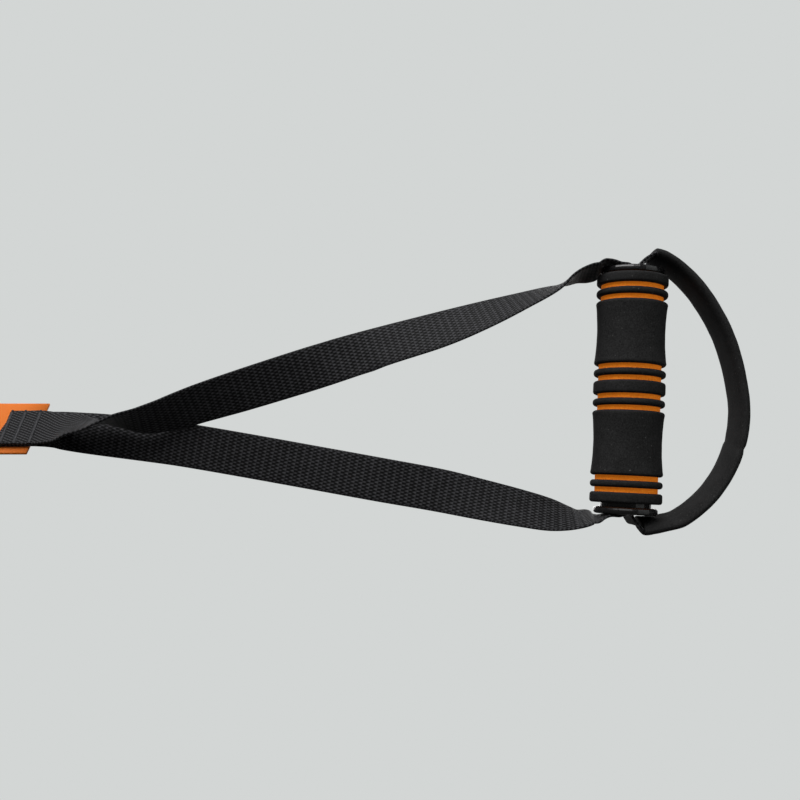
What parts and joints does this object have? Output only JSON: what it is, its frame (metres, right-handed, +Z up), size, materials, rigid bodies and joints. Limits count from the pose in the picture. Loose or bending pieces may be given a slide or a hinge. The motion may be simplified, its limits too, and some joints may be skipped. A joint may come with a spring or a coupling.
{
  "type": "suspension trainer arm",
  "caption": "Strap suspension trainer arm with a carabiner, a cam buckle, a webbing yoke, a ringed foam grip and a padded foot loop.",
  "frame": {"origin": "the inside of the carabiner's top bow, where the trainer hangs", "axes": "+Z up, +X along the grip toward its right end, the buckle's thumb lever facing -Y"},
  "size_m": [0.1621, 0.0449, 0.6888],
  "materials": {
    "steel": "zinc plated, satin",
    "webbing": "woven webbing",
    "orange_webbing": "woven webbing",
    "plastic": "moulded, glossy",
    "foam": "fine closed-cell foam",
    "orange_foam": "fine closed-cell foam"
  },
  "bodies": {
    "carabiner": {"carabiner_body": "steel", "gate_pin": "steel"},
    "gate": {"carabiner_gate": "steel"},
    "buckle": {"anchor_webbing": "webbing", "buckle_frame": "steel", "cam_pin": "steel", "webbing_bar": "steel"},
    "cam": {"cam_lever": "steel"},
    "strap": {"main_strap": "orange_webbing", "yoke_webbing": "webbing"},
    "grip": {"core_tube": "plastic", "end_cap_right": "plastic", "end_cap_left": "plastic", "inner_foam": "orange_foam", "foam_end_ring_right": "foam", "foam_thin_ring_1": "foam", "foam_long_band_right": "foam", "foam_thin_ring_2": "foam", "foam_middle_band": "foam", "foam_thin_ring_3": "foam", "foam_long_band_left": "foam", "foam_thin_ring_4": "foam", "foam_end_ring_left": "foam"},
    "foot_loop": {"foot_webbing": "webbing", "foot_sleeve": "foam"}
  },
  "joints": [
    {"name": "gate_turn", "type": "hinge", "parent": "carabiner", "child": "gate", "pos_m": [-0.02, 0, -0.058], "axis": [0, 1, 0], "range_deg": [0, 25], "stiffness_Nm_per_rad": 0.2, "springref_deg": -17.19},
    {"name": "buckle_swing", "type": "hinge", "parent": "carabiner", "child": "buckle", "pos_m": [0, 0, -0.07], "axis": [1, 0, 0], "range_deg": [-75, 75]},
    {"name": "cam_turn", "type": "hinge", "parent": "buckle", "child": "cam", "pos_m": [0, -0.0139, -0.166], "axis": [1, 0, 0], "range_deg": [0, 35], "stiffness_Nm_per_rad": 0.03, "springref_deg": -20.05},
    {"name": "strap_slide", "type": "slide", "parent": "buckle", "child": "strap", "axis": [0, 0, -1], "range_m": [0, 0.04]},
    {"name": "grip_turn", "type": "hinge", "parent": "strap", "child": "grip", "pos_m": [0.0225, -0.0053, -0.615], "axis": [0.9987, 0, -0.0506], "continuous": true},
    {"name": "foot_swing", "type": "hinge", "parent": "strap", "child": "foot_loop", "pos_m": [0.0225, -0.0053, -0.615], "axis": [0.9987, 0, -0.0506], "range_deg": [-55, 55], "deforming": ["foot_webbing"]}
  ]
}
